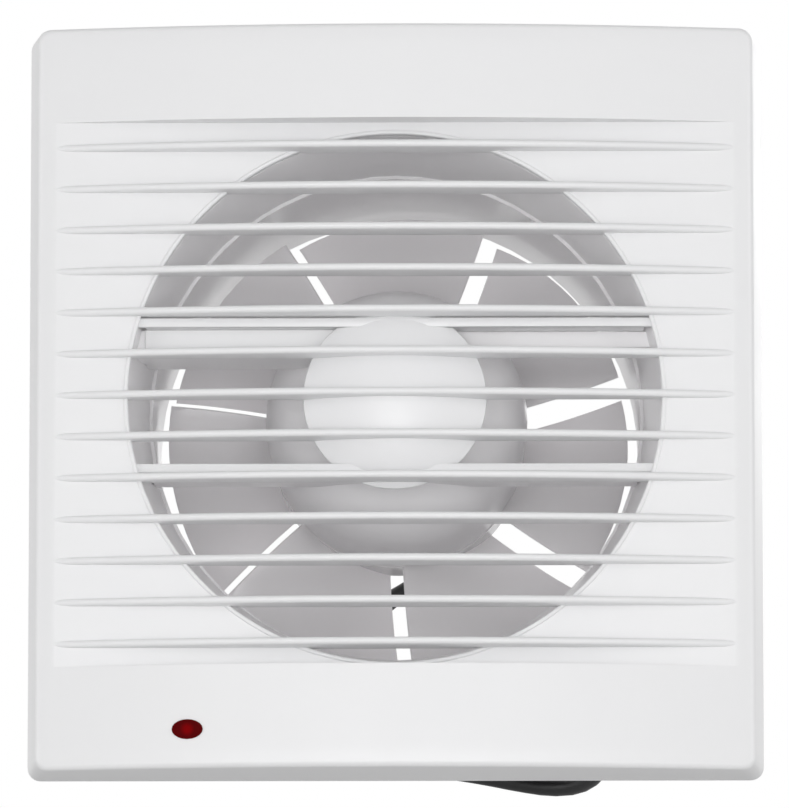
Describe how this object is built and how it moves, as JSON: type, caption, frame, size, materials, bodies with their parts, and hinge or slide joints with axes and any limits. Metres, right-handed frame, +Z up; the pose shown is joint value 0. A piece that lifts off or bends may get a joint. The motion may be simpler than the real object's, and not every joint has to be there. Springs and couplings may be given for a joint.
{
  "type": "bathroom exhaust fan",
  "caption": "Square bathroom exhaust fan for a wall duct: bowed slatted cover, wide-bladed impeller behind a central motor, red indicator lens, black cord with plug.",
  "frame": {"origin": "on the duct's axis, in the wall plane at the rear of the flange", "axes": "+Y into the wall along the duct, +Z up, +X to the right as seen from the room"},
  "size_m": [0.1774, 0.119, 0.1824],
  "materials": {
    "cover_white": "satin white moulding",
    "housing_white": "satin white moulding",
    "impeller_white": "smooth greyish white moulding",
    "lens_red": "clear dark red",
    "black_rubber": "soft black sheath",
    "steel": "plain turned steel",
    "brass": "plain",
    "copper": "enamelled copper wire",
    "bronze": "sintered, oiled",
    "lamination": "stacked steel sheets",
    "board_green": "circuit board",
    "block_cream": "plain",
    "lead_brown": "plain insulation"
  },
  "bodies": {
    "fan_frame": {"front_grille": "cover_white", "housing": "housing_white", "channel_cover": "cover_white", "indicator_lens": "lens_red", "indicator_lamp": "lens_red", "indicator_board": "board_green", "front_bearing": "bronze", "rear_bearing": "bronze", "motor_end_plate": "steel", "motor_screw_1": "steel", "motor_screw_2": "steel", "motor_screw_3": "steel", "stator_core": "lamination", "front_winding": "copper", "rear_winding": "copper", "terminal_block": "block_cream", "terminal_screw_1": "brass", "terminal_screw_2": "brass", "motor_lead_1": "lead_brown", "motor_lead_2": "lead_brown", "supply_lead_1": "lead_brown", "supply_lead_2": "lead_brown", "indicator_lead_1": "lead_brown", "indicator_lead_2": "lead_brown", "strain_relief": "black_rubber", "cord_run": "black_rubber", "cord_coil": "black_rubber", "cord_tie": "black_rubber", "plug_body": "black_rubber", "plug_pin_1": "brass", "plug_pin_2": "brass"},
    "rotating_group": {"impeller": "impeller_white", "motor_shaft": "steel", "rotor": "lamination", "thrust_washer": "steel", "impeller_nut": "brass"}
  },
  "joints": [
    {"name": "impeller_spin", "type": "hinge", "parent": "fan_frame", "child": "rotating_group", "pos_m": [0, 0, 0], "axis": [0, 1, 0], "continuous": true}
  ]
}
